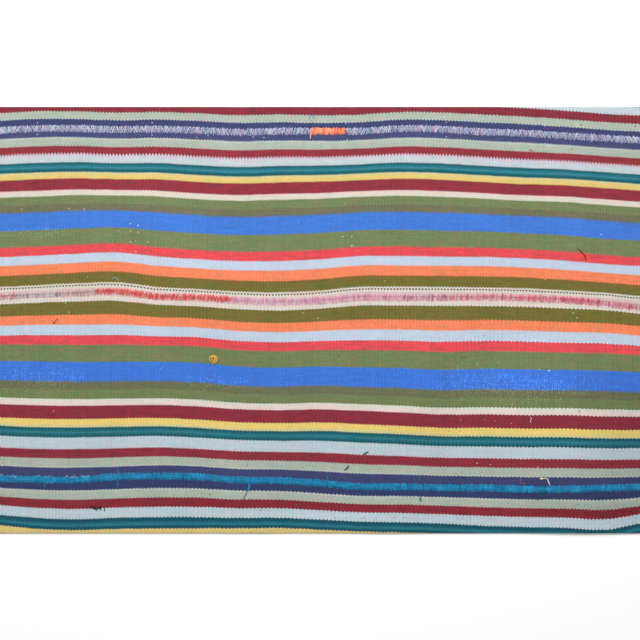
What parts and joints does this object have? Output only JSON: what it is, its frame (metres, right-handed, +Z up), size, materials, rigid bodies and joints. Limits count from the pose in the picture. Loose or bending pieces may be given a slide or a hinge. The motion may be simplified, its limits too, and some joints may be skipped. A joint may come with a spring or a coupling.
{
  "type": "striped kilim",
  "caption": "Flat striped kilim cloth, a cut length of narrow woven wool strips sewn edge to edge, for a floor, bench or wall.",
  "frame": {"origin": "middle of the underside, on the surface that the cloth lies on", "axes": "+X along the stripes, +Y across them towards the narrow top strip, +Z up out of the face"},
  "size_m": [1.0001, 0.6552, 0.0065],
  "materials": {
    "striped_wool": "warp-faced wool in many coloured stripes, matt, ribbed across the stripes",
    "seam_yarn": "matt wool sewing yarn in changing colours"
  },
  "bodies": {
    "root": {"top_strip": "striped_wool", "upper_strip": "striped_wool", "lower_strip": "striped_wool", "bottom_strip": "striped_wool"}
  },
  "joints": []
}
